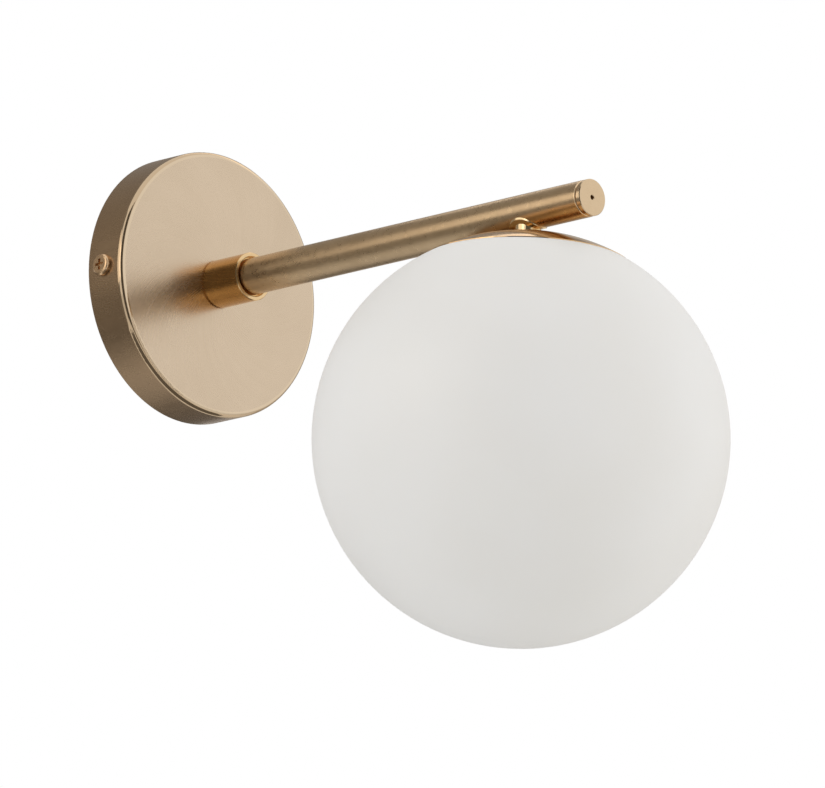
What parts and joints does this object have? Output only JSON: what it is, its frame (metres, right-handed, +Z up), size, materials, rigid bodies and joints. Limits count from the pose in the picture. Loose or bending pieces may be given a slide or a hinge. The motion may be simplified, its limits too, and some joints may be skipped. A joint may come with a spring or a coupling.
{
  "type": "globe wall sconce",
  "caption": "Wall sconce: round canopy, straight tubular arm, and an opal glass globe hung under the arm's end by a shallow cap flush with the globe.",
  "frame": {"origin": "on the wall plane, on the axis of the canopy and arm", "axes": "+Y into the wall, so the room is at negative y; +Z up; +X along the wall"},
  "size_m": [0.15, 0.2535, 0.2094],
  "materials": {
    "brushed_brass": "brushed",
    "polished_brass": "polished",
    "cap_brass": "satin",
    "opal_glass": "matt",
    "zinc_steel": "zinc plated",
    "tinned_metal": "tin plated",
    "turned_aluminium": "turned",
    "ceramic": "glazed steatite",
    "white_nylon": "moulded",
    "black_nylon": "moulded",
    "silicone": "matt",
    "brown_insulation": "matt",
    "blue_insulation": "matt",
    "green_yellow_insulation": "matt",
    "frosted_cover": "frosted"
  },
  "bodies": {
    "fixture": {"arm_end_cap": "brushed_brass", "arm_insert": "zinc_steel", "arm_tube": "brushed_brass", "canopy": "brushed_brass", "canopy_bush": "black_nylon", "canopy_nipple": "zinc_steel", "canopy_nut": "zinc_steel", "canopy_washer": "zinc_steel", "collar": "polished_brass", "earth_lug": "tinned_metal", "earth_screw": "zinc_steel", "earth_washer": "zinc_steel", "earth_wire": "green_yellow_insulation", "holder_body": "ceramic", "holder_bracket": "zinc_steel", "holder_contacts": "tinned_metal", "holder_screws": "zinc_steel", "lead_live": "brown_insulation", "lead_neutral": "blue_insulation", "saddle_spacer": "polished_brass", "shade_cap": "cap_brass", "shade_carrier": "turned_aluminium", "stem_block": "zinc_steel", "stem_bush": "black_nylon", "stem_nipple": "zinc_steel", "stem_nut": "zinc_steel", "stem_washer": "zinc_steel", "terminal_body": "white_nylon", "terminal_fixings": "zinc_steel", "terminal_screws": "zinc_steel", "terminal_sleeves": "tinned_metal", "wall_bracket": "zinc_steel"},
    "seal": {"shade_gasket": "silicone"},
    "globe": {"globe": "opal_glass"},
    "lamp": {"lamp_base": "white_nylon", "lamp_pins": "tinned_metal", "lamp_core": "white_nylon", "lamp_cover": "frosted_cover"},
    "screw_left": {"canopy_screw_left": "brushed_brass"},
    "screw_right": {"canopy_screw_right": "brushed_brass"}
  },
  "joints": [
    {"name": "globe_lower", "type": "slide", "parent": "fixture", "child": "seal", "axis": [0, 0, -1], "range_m": [0, 0.008]},
    {"name": "globe_turn", "type": "hinge", "parent": "seal", "child": "globe", "pos_m": [0, -0.1785, -0.08443], "axis": [0, 0, -1], "range_deg": [0, 720]},
    {"name": "lamp_pull", "type": "slide", "parent": "fixture", "child": "lamp", "axis": [0, 0, -1], "range_m": [0, 0.015]},
    {"name": "screw_left_out", "type": "slide", "parent": "fixture", "child": "screw_left", "axis": [-1, 0, 0], "range_m": [0, 0.012]},
    {"name": "screw_right_out", "type": "slide", "parent": "fixture", "child": "screw_right", "axis": [1, 0, 0], "range_m": [0, 0.012]}
  ],
  "couplings": [
    {"joint": "globe_lower", "follows": "globe_turn", "m_per_rad": 0.00063662}
  ]
}
